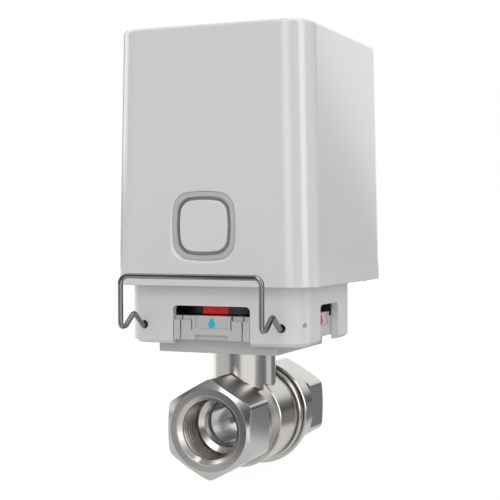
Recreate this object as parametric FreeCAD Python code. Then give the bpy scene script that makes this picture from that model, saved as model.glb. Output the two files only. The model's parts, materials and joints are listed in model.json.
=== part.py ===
import FreeCAD, Part
import math
import os

# Motorised ball valve. Millimetres, +Z up. The origin is the centre of the ball: the pipe runs along Y,
# the stem rises along +Z, and the push button faces -Y. The valve is open as drawn.

V = FreeCAD.Vector
AXES = {"x": V(1, 0, 0), "y": V(0, 1, 0), "z": V(0, 0, 1)}

# ---- clearances -------------------------------------------------------------------------------------
running = 0.05            # shaft in its bearing, radial
loose = 0.1               # piece located in its pocket
apart = 0.3               # pieces of different bodies that pass each other
ball_gap = 0.15           # ball to its seats
overcut = 1.0             # a cutter runs this far past what it cuts

# ---- valve ------------------------------------------------------------------------------------------
hex_across_flats = 28.0
hex_edge_round = 2.6
hex_face_radius = 13.0    # turned ring on the end faces; the hexagon's corners slope back from it
hex_face_slope = 30.0     # degrees
front_length = 28.0       # ball centre to the front face
rear_length = 40.0        # ball centre to the rear face
rear_hex_length = 15.0
thread_wall_radius = 9.3155   # crest of the internal G 1/2 thread
mouth_radius = 10.6       # chamfer at the mouth of each port
thread_runout = 1.0       # cone from the thread wall down to the bore
port_radius = 7.5         # full bore
port_shoulder = 3.5       # wall between the end of the thread and the seat
ball_radius = 11.8
ball_slot_width = 5.0
ball_slot_floor = 1.5     # metal between the bore and the slot
seat_inner_radius = 8.0
seat_face_share = 0.58    # front plane of a seat, as a share of the ball's radius
seat_depth = 4.8
spigot_wall = 1.45
socket_clearance = 0.2    # the ball passes through the socket when the valve is put together
cavity_undercut = 0.4
body_wall = 3.2
front_wall = 1.8
front_step_y = 5.2        # the barrel is narrower in front of this plane
gasket_thickness = 0.8
gasket_width = 0.9
groove_width = 1.2        # groove in front of the first ring
groove_depth = 0.6
first_ring_start = 9.9
first_ring_width = 2.1
first_ring_height = 1.0
ring_spacing = 1.0
second_ring_width = 2.6
second_ring_height = 1.9
ring_chamfer = 0.3
neck_radius = 10.8
neck_rise = 7.8           # from the top of the body to the adapter
stem_radius = 4.6
stem_flange_radius = 6.0
stem_flange_thickness = 1.4
washer_thickness = 0.8
stem_ring_radius = 0.62
stem_ring_pitch = 3.5
stem_ring_count = 2
stem_ring_drop = 2.0      # top ring below the top of the neck
drive_square = 6.4
drive_length = 12.0

# ---- adapter that carries the actuator ---------------------------------------------------------------
adapter_half_x = 20.4
adapter_half_y = 21.4
adapter_corner_radius = 1.0
adapter_thickness = 4.4
deck_thickness = 3.2
spigot_radius = 8.6       # threaded top of the neck
nut_across_flats = 20.0
nut_thickness = 3.0
thread_past_nut = 0.6
tongue_half_width = 6.5
tongue_label_half = 5.5
tongue_height = 7.6
tongue_step_height = 3.6
tongue_step_depth = 0.45
tongue_foot_height = 1.6   # lower recess of the tongue
tongue_foot_depth = 0.9
tab_outer = 13.0
tab_height = 6.2
tab_back_height = 7.5      # set-back top of the tabs
tab_back_recess = 1.3
tab_gap = 0.4             # tongue to tab
tab_slit = 0.5
tab_slit_offset = 0.8     # outwards from the middle of the tab
tab_slit_depth = 0.8      # the slit runs down the front of the deck to this depth
block_depth = 3.2
rail_half_width = 2.2
rail_height = 6.6
rail_inset = 1.0
rail_past_prong = 1.0
mark_height = 3.1
mark_thickness = 0.3
mark_rise = 5.5           # centre of the printed marks above the deck's underside
drop_belly_share = 0.34   # radius of the drop's belly, as a share of its height
cross_half_width = 0.22
cross_drop_share = 0.1    # centre of the cross below the middle of the mark, as a share of its height

# ---- actuator base and clip --------------------------------------------------------------------------
base_inset = 4.0          # cover side to base side
base_front_inset = 3.4    # cover front to base front
base_wall = 2.4
base_corner_radius = 8.0
base_drop = 17.0          # underside of the cover to the underside of the deck
skirt_drop = 1.4          # the base's wall reaches below the deck
skirt_chamfer = 1.0
front_window_half = 13.2
side_window_half = 8.6
window_height = 10.7
window_corner = 1.5
lip_height = 0.8          # the base plate sits this far up inside the cover
plate_thickness = 2.4
gasket_depth = 1.0
gasket_height = 1.1
pin_hole_radius = 0.9
pin_hole_back = 4.8       # behind the front of the base
pin_hole_rise = 5.1
board_post_drop = 4.0     # top of the board's posts below the button's centre
wire_radius = 0.85
wire_clearance = 0.3
wall_hole_clearance = 0.5
clip_inset = 6.8          # base side to the prong
clip_rise = 4.4           # prong above the underside of the base
clip_reach = 15.4         # bail in front of the base
clip_height = 16.1        # bail above the prongs
prong_end_room = 6.4      # end of each prong in front of the rear of the base
clip_corner = 2.4
wave_start = 1.3
wave_length = 11.0
wave_height = 4.2
foot_rise = 0.4           # foot of each leg above the prong
wave_corner = 1.5

# ---- indicator ---------------------------------------------------------------------------------------
disc_rise = 8.0           # underside of the disc above the underside of the base
disc_thickness = 2.6
disc_rim_gap = 0.9
flag_half_angle = 11.5    # degrees
flag_depth = 7.0

# ---- gear train --------------------------------------------------------------------------------------
pressure_angle = 25.0
dedendum = 1.25           # in modules
flank_steps = 3
gear_backlash = 0.12
wheel_teeth = 36
pinion_teeth = 12
output_module = 0.9
second_module = 0.7
first_module = 0.55
second_direction = 75.0   # from the output axis to the second gear
first_direction = 140.0   # from the second gear to the first
motor_direction = -10.0   # from the first gear to the motor
hub_radius = 6.8
hub_top_radius = 3.0
hub_gap = 1.0             # nut to hub
top_pin_recess = 0.5
bush_wall = 1.75
bush_flange = 1.4
bush_flange_thickness = 1.0
gear_floor_gap = 0.5
output_face = 6.0
second_face = 3.0
first_face = 2.5
stage_gap = 0.8
axle_radius = 1.5
axle_rim = 1.2            # raised ring round each axle
axle_hole_floor = 0.5
axle_lift = 0.1           # axle above the floor of its hole
box_wall = 1.5
box_floor = 1.6
box_margin = 0.8
box_corner = 4.0
screw_boss_radius = 2.4
box_screw_inset = 2.2
small_screw_radius = 0.95
small_head_radius = 1.9
small_head_height = 1.2
box_screw_length = 8.0
box_screw_floor = 2.0
flat_head_height = 0.6    # motor screws, heads inside the gearbox
motor_screw_grip = 2.0    # length inside the motor

# ---- motor, board and cells --------------------------------------------------------------------------
motor_radius = 12.2
motor_length = 12.4
motor_boss_radius = 3.1
motor_shaft_radius = 1.0
motor_screw_radius = 8.0
motor_screw_directions = (60.0, 240.0)   # degrees
motor_edge = 0.6
motor_boss_recess = 0.3
shaft_end_wall = 1.0
board_thickness = 1.6
board_gap = 0.35          # gearbox to board
board_top_room = 3.0
board_side_room = 4.2
rail_grip = 1.4
post_root = 0.5           # depth of the posts in the base plate
switch_height = 2.0
switch_half = 3.0
plunger_radius = 1.5
led_half = 0.8
module_half = 8.0
module_height = 20.0
module_thickness = 2.6
module_rise = 6.0         # above the underside of the cell holder
connector_x = 14.0
connector_half = 4.0
connector_height = 6.0
connector_depth = 5.0
connector_rise = 4.0      # above the gearbox
cell_radius = 8.5
cell_length = 34.5
cell_gap = 0.3
cell_edge_round = 0.8
contact_thickness = 1.2
contact_half = 3.5
holder_wall = 1.6
holder_rear_gap = 0.5     # cell holder to the inside of the cover
holder_lift = 4.5         # motor to cell holder
holder_end_grip = 3.0
holder_side_share = 1.2   # height of the long sides, in cell radii
leg_radius = 1.8
leg_inset = 4.0           # front legs behind the front of the holder
leg_motor_gap = 0.5
antenna_height = 6.0
antenna_length = 20.0
antenna_inset = 2.0
antenna_strip = 1.0
antenna_tip_gap = 2.0     # end of the strip above the board

# ---- cover and button --------------------------------------------------------------------------------
cover_width = 68.4
cover_wall = 2.2
cover_corner_radius = 9.0
cover_top_round = 1.2
cover_side_taper = 1.6    # each side leans in by this much at the top
cover_front_taper = 0.9
cover_rear_room = 4.9     # gearbox to the outside of the cover
cover_headroom = 7.2
button_half = 8.1
cushion_bulge = 4.2       # radius of the bulging sides, in half widths
cushion_corner = 0.52     # radius of the corners, in half widths
cap_round = 0.45
button_gap = 1.05
ring_width = 1.45
bevel_width = 1.2
bevel_depth = 0.3
bevel_lead = 0.15
button_height = 18.7      # button centre above the underside of the cover
button_x = -1.1           # button centre from the cover's middle plane
button_stack = 7.2        # board to the outside of the cover at the button
button_travel = 0.5
flange_reach = 1.6
flange_thickness = 0.7
shelf_front = 0.4         # light ring's shelf in front of the ring's back
shelf_back = 0.3
ring_stand = 0.55         # light ring's back behind the inside of the cover
cover_boss_radius = 3.2
cover_boss_inset_x = 4.7
cover_boss_inset_y = 6.9
cover_boss_rib = 2.4
cover_boss_roof = 1.0
cover_boss_height = 12.0
cover_screw_radius = 1.25
cover_screw_head_radius = 2.8
cover_screw_head_height = 1.6
cover_screw_end_gap = 1.0

# ---- values that follow ------------------------------------------------------------------------------
seat_face_y = seat_face_share * ball_radius
pocket_end_y = seat_face_y + seat_depth
socket_radius = ball_radius + socket_clearance
spigot_outer_radius = socket_radius - running
pocket_radius = spigot_outer_radius - spigot_wall
seat_outer_radius = pocket_radius - loose
shoulder_y = neck_radius + loose
cavity_radius = socket_radius + cavity_undercut
body_radius = cavity_radius + body_wall
thread_length = front_length - pocket_end_y - port_shoulder
slot_floor_z = port_radius + ball_slot_floor
flange_z = cavity_radius + loose
washer_z = flange_z + stem_flange_thickness + loose
washer_top_z = washer_z + washer_thickness
neck_top_z = body_radius + neck_rise
base_z = neck_top_z + adapter_thickness
deck_top_z = base_z + deck_thickness
skirt_z = base_z - skirt_drop
nut_top_z = deck_top_z + nut_thickness
thread_end_z = nut_top_z + thread_past_nut
disc_z = base_z + disc_rise
cover_z = base_z + base_drop
plate_z = cover_z + lip_height
plate_top_z = plate_z + plate_thickness

output_radius = output_module * wheel_teeth / 2
gearbox_front_y = -(output_radius + output_module + box_margin + box_wall)


def centre_distance(module):
    return module * (wheel_teeth + pinion_teeth) / 2


def polar(start, distance, degrees):
    angle = math.radians(degrees)
    return start[0] + distance * math.cos(angle), start[1] + distance * math.sin(angle)


second_axis = polar((0.0, 0.0), centre_distance(output_module), second_direction)
first_axis = polar(second_axis, centre_distance(second_module), first_direction)
motor_axis = polar(first_axis, centre_distance(first_module), motor_direction)
modules = (output_module, second_module, first_module)
wheel_outer = {module: module * (wheel_teeth / 2 + 1) for module in modules}
gearbox_half_x = box_wall + box_margin + max(
    wheel_outer[output_module],
    abs(second_axis[0]) + wheel_outer[second_module],
    abs(first_axis[0]) + wheel_outer[first_module])
holder_half_x = cell_length / 2 + contact_thickness + 2 * loose + holder_wall
leg_x = min(holder_half_x - leg_radius / 2, gearbox_half_x - leg_radius)
leg_reach = motor_radius + leg_radius + leg_motor_gap
leg_rear_y = motor_axis[1] + math.sqrt(max(0.0, leg_reach ** 2 - (leg_x - abs(motor_axis[0])) ** 2))
gearbox_rear_y = box_wall + max(
    second_axis[1] + wheel_outer[second_module] + box_margin,
    first_axis[1] + wheel_outer[first_module] + box_margin,
    leg_rear_y + leg_radius + apart + small_head_radius + box_screw_inset)
screw_line_y = gearbox_rear_y - box_wall - box_screw_inset

tray_floor_z = plate_top_z + box_floor
output_z = tray_floor_z + gear_floor_gap
second_z = output_z + output_face + stage_gap
first_z = second_z + second_face + stage_gap
lid_z = first_z + first_face + stage_gap
lid_top_z = lid_z + box_floor

board_rear_y = gearbox_front_y - board_gap
board_front_y = board_rear_y - board_thickness
cover_front_at_button = board_front_y - button_stack
motor_top_z = lid_top_z + motor_length
holder_z = motor_top_z + holder_lift
cells_z = holder_z + holder_wall
holder_top_z = cells_z + 4 * cell_radius + 2 * cell_gap
cover_top_z = holder_top_z + cover_headroom
button_z = cover_z + button_height
cover_height = cover_top_z - cover_z
cover_front_y = cover_front_at_button - cover_front_taper * button_height / cover_height
cover_rear_y = gearbox_rear_y + cover_rear_room
cover_centre_y = (cover_front_y + cover_rear_y) / 2
cover_half_y = (cover_rear_y - cover_front_y) / 2
cover_half_x = cover_width / 2
base_half_x = cover_half_x - base_inset
base_half_y = -cover_front_y - base_front_inset
base_inner_x = base_half_x - base_wall
base_inner_y = base_half_y - base_wall
disc_radius = min(base_inner_x, base_inner_y) - disc_rim_gap
prong_x = base_half_x - clip_inset
prong_z = base_z + clip_rise
clip_prong_end = base_half_y - prong_end_room

holder_depth = 4 * cell_radius + cell_gap + 2 * (loose + holder_wall)
holder_rear_y = cover_rear_y - cover_front_taper - cover_wall - holder_rear_gap
holder_front_y = holder_rear_y - holder_depth
leg_front_y = holder_front_y + leg_inset


# ---- shape helpers -----------------------------------------------------------------------------------
def box(x0, x1, y0, y1, z0, z1):
    return Part.makeBox(x1 - x0, y1 - y0, z1 - z0, V(x0, y0, z0))


def rod(radius, start, end, axis="z", at=(0.0, 0.0)):
    """A cylinder along an axis; `at` is its place across that axis."""
    places = {"x": V(start, *at), "y": V(at[0], start, at[1]), "z": V(at[0], at[1], start)}
    return Part.makeCylinder(radius, end - start, places[axis], AXES[axis])


def tube(outer, inner, start, end, axis="z", at=(0.0, 0.0)):
    return rod(outer, start, end, axis, at).cut(rod(inner, start, end, axis, at))


def prism(points, height):
    """A polygon of points, extruded by the vector `height`."""
    return Part.Face(Part.makePolygon(points + points[:1])).extrude(height)


def turned(profile):
    """(radius, y) points turned about the pipe axis."""
    points = [V(radius, y, 0) for radius, y in profile]
    face = Part.Face(Part.makePolygon(points + points[:1]))
    return face.revolve(V(0, 0, 0), AXES["y"], 360)


def joined(first, *others):
    return first.fuse(list(others)).removeSplitter()


def mirrored_pair(shape):
    """The shape and its mirror image across the pipe axis."""
    return [shape, shape.mirror(V(0, 0, 0), AXES["x"])]


def corner_arc(centre, radius, start_degrees, z):
    points = []
    for turn in (0, 45, 90):
        x, y = polar(centre, radius, start_degrees + turn)
        points.append(V(x, y, z))
    return Part.Arc(*points).toShape()


def rounded_outline(half_x, half_y, radius, z, centre_y=0.0):
    corners = ((1, 1, 0), (-1, 1, 90), (-1, -1, 180), (1, -1, 270))
    arcs = []
    for side_x, side_y, start in corners:
        centre = (side_x * (half_x - radius), centre_y + side_y * (half_y - radius))
        arcs.append(corner_arc(centre, radius, start, z))
    edges = []
    for index, arc in enumerate(arcs):
        following = arcs[(index + 1) % 4]
        edges.append(arc)
        edges.append(Part.LineSegment(arc.Vertexes[1].Point, following.Vertexes[0].Point).toShape())
    return Part.Wire(edges)


def rounded_slab(half_x, half_y, radius, z0, z1, centre_y=0.0):
    outline = rounded_outline(half_x, half_y, radius, z0, centre_y)
    return Part.Face(outline).extrude(V(0, 0, z1 - z0))


def tapered_slab(bottom, top, centre_y=0.0):
    """A loft between two rounded outlines, each (half_x, half_y, radius, z)."""
    outlines = [rounded_outline(*end, centre_y) for end in (bottom, top)]
    return Part.makeLoft(outlines, True, True)


def cushion_outline(half, y):
    """A square with bulging sides and well rounded corners, in the XZ plane about the button's centre."""
    side_radius = cushion_bulge * half
    corner_radius = cushion_corner * half
    side_centre = side_radius - half
    reach = side_radius - corner_radius
    corner = (-side_centre + math.sqrt(2 * reach ** 2 - side_centre ** 2)) / 2
    join_x = (corner + side_centre) * side_radius / reach - side_centre
    join_z = corner * side_radius / reach
    diagonal = corner + corner_radius / math.sqrt(2)
    edges = []
    for quarter in range(4):
        across = math.cos(math.radians(90 * quarter))
        along = math.sin(math.radians(90 * quarter))

        def place(x, z):
            return V(button_x + x * across - z * along, y, button_z + x * along + z * across)

        start, end = place(join_x, join_z), place(join_z, join_x)
        edges.append(Part.Arc(place(join_x, -join_z), place(half, 0), start).toShape())
        edges.append(Part.Arc(start, place(diagonal, diagonal), end).toShape())
    return Part.Wire(edges)


def cushion(half, y0, y1):
    return Part.Face(cushion_outline(half, y0)).extrude(V(0, y1 - y0, 0))


def rounded_path(points, radii):
    """Straight runs between the points, with a tangent arc of the given radius at each corner."""
    edges = []
    start = points[0]
    for before, corner, after, radius in zip(points, points[1:], points[2:], radii):
        back = (before - corner).normalize()
        ahead = (after - corner).normalize()
        half_angle = back.getAngle(ahead) / 2
        cut_back = radius / math.tan(half_angle)
        middle = corner + (back + ahead).normalize() * (radius / math.sin(half_angle) - radius)
        first, last = corner + back * cut_back, corner + ahead * cut_back
        edges.append(Part.LineSegment(start, first).toShape())
        edges.append(Part.Arc(first, middle, last).toShape())
        start = last
    edges.append(Part.LineSegment(start, points[-1]).toShape())
    return Part.Wire(edges)


# ---- valve pieces ------------------------------------------------------------------------------------
def hexagon_block(y0, y1):
    """Hexagonal bar along the pipe, upright flats at its sides, with cone-turned corners at both ends."""
    corner = hex_across_flats / math.sqrt(3)
    points = []
    for k in range(6):
        x, z = polar((0.0, 0.0), corner, 90 + 60 * k)
        points.append(V(x, y0, z))
    bar = prism(points, V(0, y1 - y0, 0))
    long_edges = [edge for edge in bar.Edges if abs(edge.tangentAt(edge.FirstParameter).y) > 0.9]
    bar = bar.makeFillet(hex_edge_round, long_edges)
    slope = (corner - hex_face_radius) * math.tan(math.radians(hex_face_slope))
    return bar.common(turned([(0, y0), (hex_face_radius, y0), (corner, y0 + slope),
                              (corner, y1 - slope), (hex_face_radius, y1), (0, y1)]))


def port_cut(face_y):
    """Thread wall, mouth chamfer and full bore of one port, cut from its end face inwards."""
    inward = -math.copysign(1, face_y)
    chamfer_end = face_y + inward * (mouth_radius - thread_wall_radius)
    thread_end = face_y + inward * thread_length
    return turned([(0, face_y), (mouth_radius, face_y), (thread_wall_radius, chamfer_end),
                   (thread_wall_radius, thread_end), (port_radius, thread_end + inward * thread_runout),
                   (port_radius, 0), (0, 0)])


def seat_pocket(side):
    y0, y1 = sorted((side * (seat_face_y - running), side * pocket_end_y))
    return rod(pocket_radius, y0, y1, "y")


def end_piece():
    hexagon = hexagon_block(-front_length, -shoulder_y)
    spigot = rod(spigot_outer_radius, -shoulder_y, -seat_face_y, "y")
    return joined(hexagon, spigot).cut(port_cut(-front_length)).cut(seat_pocket(-1))


def raised_ring(start, width, height):
    """(radius, y) points of one ring that stands out of the barrel."""
    outer = body_radius + height
    end = start + width
    return [(body_radius, start), (outer - ring_chamfer, start), (outer, start + ring_chamfer),
            (outer, end - ring_chamfer), (outer - ring_chamfer, end), (body_radius, end)]


def barrel(hex_start):
    """The round part of the body: narrow front, groove and two raised rings."""
    narrow = socket_radius + front_wall
    groove_start = first_ring_start - groove_width
    second_ring_start = first_ring_start + first_ring_width + ring_spacing
    profile = [(0, -shoulder_y), (narrow, -shoulder_y), (narrow, -front_step_y),
               (body_radius - ring_chamfer, -front_step_y), (body_radius, ring_chamfer - front_step_y),
               (body_radius, groove_start), (body_radius - groove_depth, groove_start),
               (body_radius - groove_depth, first_ring_start)]
    profile += raised_ring(first_ring_start, first_ring_width, first_ring_height)
    profile += raised_ring(second_ring_start, second_ring_width, second_ring_height)
    return turned(profile + [(body_radius, hex_start), (0, hex_start)])


def valve_body():
    hex_start = rear_length - rear_hex_length
    hexagon = hexagon_block(hex_start, rear_length)
    neck = rod(neck_radius, 0, neck_top_z)
    threaded_top = rod(spigot_radius, 0, thread_end_z)
    body = joined(barrel(hex_start), hexagon, neck, threaded_top)
    body = body.cut(port_cut(rear_length)).cut(seat_pocket(1))
    body = body.cut(rod(gasket_outer_radius() + loose, -shoulder_y, -shoulder_y + gasket_thickness, "y"))
    body = body.cut(rod(socket_radius, -shoulder_y, -seat_face_y, "y"))
    body = body.cut(rod(cavity_radius, -seat_face_y, seat_face_y, "y"))
    body = body.cut(rod(stem_flange_radius + apart, cavity_radius / 2, washer_top_z))
    return body.cut(rod(stem_radius + running, 0, thread_end_z))


def gasket_outer_radius():
    return socket_radius + loose + gasket_width


def body_gasket():
    back = -shoulder_y + gasket_thickness
    return tube(gasket_outer_radius(), socket_radius + loose, -shoulder_y, back, "y")


def ball_seat(side):
    y0, y1 = sorted((side * seat_face_y, side * pocket_end_y))
    ring = tube(seat_outer_radius, seat_inner_radius, y0, y1, "y")
    return ring.cut(Part.makeSphere(ball_radius + ball_gap))


def ball():
    sphere = Part.makeSphere(ball_radius).cut(rod(port_radius, -ball_radius, ball_radius, "y"))
    half_slot = ball_slot_width / 2
    slot = box(-ball_radius, ball_radius, -half_slot, half_slot, slot_floor_z, ball_radius)
    return sphere.cut(slot)


def stem_ring_heights():
    top = neck_top_z - stem_ring_drop
    return [top - k * stem_ring_pitch for k in range(stem_ring_count)]


def stem():
    half_width = ball_slot_width / 2 - loose
    half_square = drive_square / 2
    drive_start = thread_end_z + apart
    shaft = rod(stem_radius, flange_z, drive_start)
    flange = rod(stem_flange_radius, flange_z, flange_z + stem_flange_thickness)
    tongue = box(-stem_radius, stem_radius, -half_width, half_width, slot_floor_z + 2 * loose, flange_z)
    square = box(-half_square, half_square, -half_square, half_square,
                 drive_start, drive_start + drive_length)
    shape = joined(shaft, flange, tongue, square)
    for z in stem_ring_heights():
        depth = 2 * stem_ring_radius + running
        half_groove = stem_ring_radius + loose
        shape = shape.cut(tube(stem_radius + overcut, stem_radius - depth, z - half_groove, z + half_groove))
    return shape


def stem_rings():
    centre = stem_radius - stem_ring_radius - running / 2
    rings = [Part.makeTorus(centre, stem_ring_radius, V(0, 0, z)) for z in stem_ring_heights()]
    return Part.makeCompound(rings)


def thrust_washer():
    return tube(stem_flange_radius + loose, stem_radius + loose, washer_z, washer_top_z)


# ---- adapter, its marks and nut ----------------------------------------------------------------------
def window_block(front):
    """Tongue and two snap tabs that stand in a window of the base, facing -Y with their face at `front`."""
    back = front + block_depth
    top = base_z + tongue_height
    block = box(-tab_outer, tab_outer, front, back, base_z, base_z + tab_height)
    block = block.fuse([
        box(-tab_outer, tab_outer, front + tab_back_recess, back, base_z, base_z + tab_back_height),
        box(-tongue_half_width, tongue_half_width, front, back, base_z, top)])
    for side in (-1, 1):
        gap_x = side * (tongue_half_width + tab_gap / 2)
        slit_x = side * ((tongue_half_width + tab_outer) / 2 + tab_slit_offset)
        for x, half, deep, low in ((gap_x, tab_gap / 2, back, deck_top_z),
                                   (slit_x, tab_slit / 2, back, deck_top_z),
                                   (slit_x, tab_slit / 2, front + tab_slit_depth, base_z)):
            block = block.cut(box(x - half, x + half, front, deep, low, top))
    label = box(-tongue_label_half, tongue_label_half, front, front + tongue_step_depth,
                base_z + tongue_step_height, top)
    foot = box(-tongue_label_half, tongue_label_half, front, front + tongue_foot_depth,
               base_z, base_z + tongue_foot_height)
    return block.cut([label, foot])


def turned_to_side(shape):
    """Carry a piece made at the front round to the +X side."""
    turned_shape = shape.copy()
    turned_shape.rotate(V(0, 0, 0), AXES["z"], 90)
    return turned_shape


def tongue_fronts():
    """Planes of the front and side tongues: the front one is flush, the side one sits behind the wall."""
    return -base_half_y + loose, -base_inner_x + loose


def mounting_adapter():
    front, side_front = tongue_fronts()
    deck_x, deck_y = base_inner_x - loose, base_inner_y - loose
    plate = rounded_slab(adapter_half_x, adapter_half_y, adapter_corner_radius, neck_top_z, base_z)
    deck = rounded_slab(deck_x, deck_y, base_corner_radius - base_wall, base_z, deck_top_z)
    side_block = turned_to_side(window_block(side_front))
    rail = box(prong_x - rail_half_width, prong_x + rail_half_width,
               -deck_y + rail_inset, clip_prong_end + rail_past_prong, base_z, base_z + rail_height)
    shape = joined(plate, deck, window_block(front), side_block, *mirrored_pair(rail))
    for side in (-1, 1):
        shape = shape.cut(rod(wire_radius + wire_clearance, -deck_y, clip_prong_end + rail_past_prong, "y",
                              (side * prong_x, prong_z)))
    return shape.cut(rod(spigot_radius + loose, neck_top_z, deck_top_z))


def adapter_nut():
    corner = nut_across_flats / math.sqrt(3)
    points = []
    for k in range(6):
        x, y = polar((0.0, 0.0), corner, 60 * k)
        points.append(V(x, y, deck_top_z))
    return prism(points, V(0, 0, nut_thickness)).cut(rod(spigot_radius + running, deck_top_z, nut_top_z))


def drop_outline(front):
    """A water drop with its point upwards: a round belly and two straight flanks."""
    radius = mark_height * drop_belly_share
    centre_z = base_z + mark_rise - mark_height / 2 + radius
    tip = V(0, front, base_z + mark_rise + mark_height / 2)
    lean = math.asin(radius / (tip.z - centre_z))

    def on_belly(degrees):
        x, z = polar((0.0, centre_z), radius, degrees)
        return V(x, front, z)

    right, bottom, left = on_belly(math.degrees(lean)), on_belly(-90), on_belly(180 - math.degrees(lean))
    edges = [Part.Arc(right, bottom, left).toShape(),
             Part.LineSegment(left, tip).toShape(), Part.LineSegment(tip, right).toShape()]
    return Part.Wire(edges)


def drop_mark(front):
    face_y = front + tongue_step_depth - mark_thickness
    return Part.Face(drop_outline(face_y)).extrude(V(0, mark_thickness, 0))


def open_mark():
    return drop_mark(tongue_fronts()[0])


def closed_mark():
    """The drop crossed out, on the side tongue."""
    front = tongue_fronts()[1]
    face_y = front + tongue_step_depth - mark_thickness
    centre = V(0, face_y, base_z + mark_rise - cross_drop_share * mark_height)
    mark = drop_mark(front)
    for tilt in (-45, 45):
        slot = box(-cross_half_width, cross_half_width, face_y, face_y + mark_thickness,
                   centre.z - mark_height, centre.z + mark_height)
        slot.rotate(centre, AXES["y"], tilt)
        mark = mark.cut(slot)
    return turned_to_side(mark)


# ---- actuator base, clip and cover -------------------------------------------------------------------
def cover_half_sizes(z, inset=0.0):
    share = (z - cover_z) / cover_height
    return (cover_half_x - cover_side_taper * share - inset,
            cover_half_y - cover_front_taper * share - inset)


def base_window(half_width, wall_face):
    """A window open at the bottom, rounded at its two top corners, cut from -Y."""
    top = base_z + window_height
    front, back = wall_face - overcut, wall_face + base_wall + overcut
    inner = half_width - window_corner
    bottom = skirt_z - overcut
    lower = box(-half_width, half_width, front, back, bottom, top - window_corner)
    upper = box(-inner, inner, front, back, bottom, top)
    rounds = [rod(window_corner, front, back, "y", (side * inner, top - window_corner)) for side in (-1, 1)]
    return lower.fuse([upper] + rounds)


def base_frame():
    half_x, half_y = cover_half_sizes(plate_top_z, cover_wall + apart)
    skirt = rounded_slab(base_half_x, base_half_y, base_corner_radius, skirt_z, plate_z)
    skirt = skirt.makeChamfer(skirt_chamfer, [edge for edge in skirt.Edges if edge.BoundBox.ZMax < base_z])
    hollow = rounded_slab(base_inner_x, base_inner_y, base_corner_radius - base_wall, skirt_z, plate_z)
    plate = rounded_slab(half_x, half_y, cover_corner_radius - cover_wall, plate_z, plate_top_z,
                         cover_centre_y)
    shape = joined(plate, skirt.cut(hollow), *board_rails())
    shape = shape.cut(gasket_groove())
    shape = shape.cut(base_window(front_window_half, -base_half_y))
    shape = shape.cut(turned_to_side(base_window(side_window_half, -base_half_x)))
    shape = shape.cut(rod(hub_radius + running + bush_wall + loose, plate_z, plate_top_z))
    wire_hole = wire_radius + wall_hole_clearance
    screw_hole = cover_screw_radius + apart
    for side in (-1, 1):
        shape = shape.cut(rod(wire_hole, -base_half_y - overcut, -base_inner_y + overcut,
                              "y", (side * prong_x, prong_z)))
        shape = shape.cut(rod(screw_hole, plate_z, plate_top_z, "z", cover_screw_place(side)))
    return shape.cut(rod(pin_hole_radius, base_inner_x - overcut, base_half_x + overcut, "x",
                         (pin_hole_back - base_half_y, base_z + pin_hole_rise)))


def gasket_groove():
    half_x, half_y = cover_half_sizes(plate_top_z, cover_wall + apart)
    radius = cover_corner_radius - cover_wall
    middle = (plate_z + plate_top_z) / 2
    low, high = middle - gasket_height / 2 - running, middle + gasket_height / 2 + running
    outer = rounded_slab(half_x + 1, half_y + 1, radius + 1, low, high, cover_centre_y)
    inner = rounded_slab(half_x - gasket_depth, half_y - gasket_depth, radius - gasket_depth,
                         low, high, cover_centre_y)
    return outer.cut(inner)


def cover_gasket():
    half_x, half_y = cover_half_sizes(plate_top_z, cover_wall + apart)
    radius = cover_corner_radius - cover_wall
    middle = (plate_z + plate_top_z) / 2
    low, high = middle - gasket_height / 2, middle + gasket_height / 2
    outer = rounded_slab(half_x + loose, half_y + loose, radius + loose, low, high, cover_centre_y)
    reach = gasket_depth - running
    inner = rounded_slab(half_x - reach, half_y - reach, radius - reach, low, high, cover_centre_y)
    return outer.cut(inner)


def board_half_width():
    return cover_half_sizes(button_z)[0] - cover_wall - board_side_room


def board_rails():
    """Two grooved posts on the base plate that hold the board's side edges."""
    edge = board_half_width()
    rails = []
    for side in (-1, 1):
        x0, x1 = sorted((side * (edge - rail_grip), side * (edge + rail_grip)))
        post = box(x0, x1, board_front_y - rail_grip, board_rear_y + rail_grip,
                   plate_top_z - post_root, button_z - board_post_drop)
        x0, x1 = sorted((side * (edge - rail_grip), side * (edge + running)))
        groove = box(x0, x1, board_front_y - running, board_rear_y + running, plate_top_z, button_z)
        rails.append(post.cut(groove))
    return rails


def clip_leg(side):
    """Prong, spring wave and leg of one side, from the prong's tip to the end of the bail."""
    front = -base_half_y
    reach = front - clip_reach
    crest_y = front - wave_start - wave_length / 2
    foot_z = prong_z + foot_rise
    return [V(side * prong_x, clip_prong_end, prong_z),
            V(side * prong_x, front - wave_start, prong_z),
            V(side * prong_x, crest_y, prong_z + wave_height),
            V(side * prong_x, front - wave_start - wave_length, foot_z),
            V(side * prong_x, reach, foot_z),
            V(side * prong_x, reach, prong_z + clip_height)]


def fixing_clip():
    """One bent wire: prong, wave, leg, bail, leg, wave and prong."""
    points = clip_leg(-1) + list(reversed(clip_leg(1)))
    leg_radii = 4 * [wave_corner]
    path = rounded_path(points, leg_radii + 2 * [clip_corner] + leg_radii)
    section = Part.Wire(Part.makeCircle(wire_radius, points[0], AXES["y"]))
    return path.makePipeShell([section], True, False)


def cover_screw_place(side):
    half_x, half_y = cover_half_sizes(plate_top_z, cover_wall)
    return side * (half_x - cover_boss_inset_x), cover_centre_y + half_y - cover_boss_inset_y


def cover_screw_hole_top_z():
    return plate_top_z + loose + cover_boss_height - cover_boss_roof


def cover_boss(side):
    x, y = cover_screw_place(side)
    low = plate_top_z + loose
    high = low + cover_boss_height
    post = rod(cover_boss_radius, low, high, "z", (x, y))
    wall_x = cover_half_sizes(high)[0] - cover_wall / 2
    x0, x1 = sorted((x, side * wall_x))
    half_rib = cover_boss_rib / 2
    return post.fuse(box(x0, x1, y - half_rib, y + half_rib, low, high))


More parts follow.
